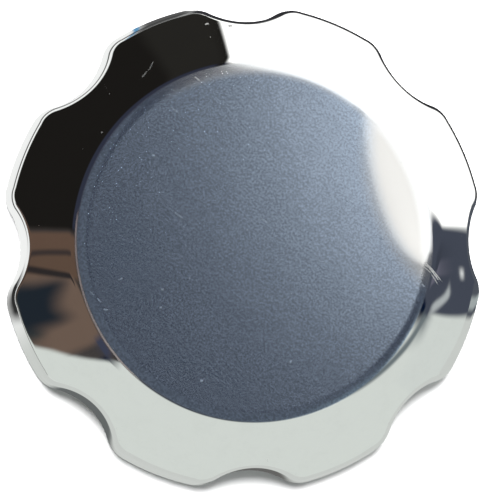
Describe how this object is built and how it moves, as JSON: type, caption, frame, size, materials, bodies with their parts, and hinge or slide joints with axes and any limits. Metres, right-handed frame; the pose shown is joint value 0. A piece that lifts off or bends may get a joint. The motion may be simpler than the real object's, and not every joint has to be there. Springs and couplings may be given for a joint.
{
  "type": "fuel cap",
  "caption": "Round fuel cap: chromed, fluted sheet-metal cover with a satin centre disc, over a gasket liner, a vent and a spring-loaded bayonet drum.",
  "frame": {"origin": "centre of the skirt's lower rim, on the plane that the cap rests on", "axes": "+Z along the cap's axis towards the satin disc, which faces up; +Y through one bayonet ear; +X through the vent valve; flutes lie on X, Y and every 45 degrees between"},
  "size_m": [0.0738, 0.0738, 0.0145],
  "materials": {
    "cover_chrome": "bright chrome, with a fine satin disc in the centre",
    "liner_zinc": "zinc plated",
    "gasket_rubber": "matte",
    "drum_zinc": "yellow zinc plated",
    "stud_steel": "turned",
    "seal_fibre": "vulcanised fibre",
    "spring_steel": "oiled spring wire",
    "seat_steel": "zinc plated",
    "valve_rubber": "matte",
    "filter_foam": "open-cell foam",
    "baffle_steel": "zinc plated"
  },
  "bodies": {
    "cap_body": {"cover_shell": "cover_chrome", "liner_plate": "liner_zinc", "gasket": "gasket_rubber", "stud": "stud_steel", "stud_seal": "seal_fibre", "spring_seat": "seat_steel", "spring": "spring_steel", "vent_valve": "valve_rubber", "vent_filter": "filter_foam", "vent_baffle": "baffle_steel"},
    "drum_body": {"bayonet_drum": "drum_zinc", "thrust_washer": "seat_steel"}
  },
  "joints": [
    {"name": "drum_slide", "type": "slide", "parent": "cap_body", "child": "drum_body", "axis": [0, 0, -1], "range_m": [0, 0.0015], "stiffness_N_per_m": 2400, "springref_m": -0.0036, "deforming": ["spring"]}
  ]
}
